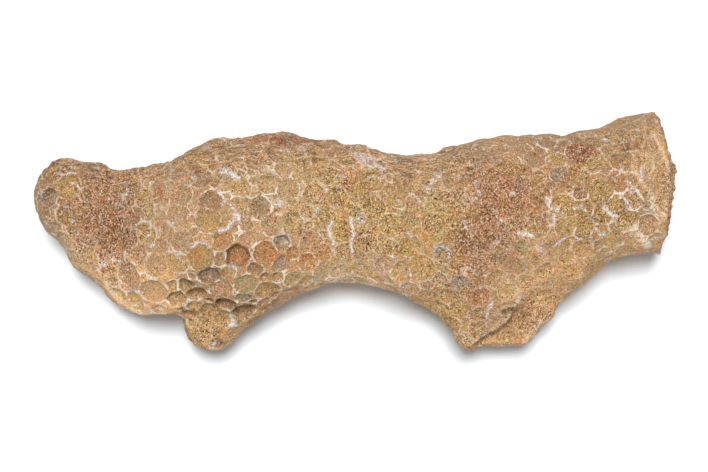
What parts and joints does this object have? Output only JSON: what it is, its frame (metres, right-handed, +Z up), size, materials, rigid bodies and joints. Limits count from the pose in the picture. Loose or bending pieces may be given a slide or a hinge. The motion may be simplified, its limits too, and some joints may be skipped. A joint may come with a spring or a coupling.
{
  "type": "fossil coral head",
  "caption": "Weathered fossil branching coral, a stout pitted trunk with a rounded tip, a broken end and stumps of side branches, lying on its worn underside.",
  "frame": {"origin": "middle of the bounding box in plan, on the surface the coral rests on", "axes": "+X along the trunk towards its broken end, +Y away from the side branches, +Z up"},
  "size_m": [0.1042, 0.039, 0.0243],
  "materials": {
    "fossil_limestone": "dry, porous, weathered ochre limestone"
  },
  "bodies": {
    "root": {"trunk": "fossil_limestone", "left_branch_stub": "fossil_limestone", "right_branch_stub": "fossil_limestone"}
  },
  "joints": []
}
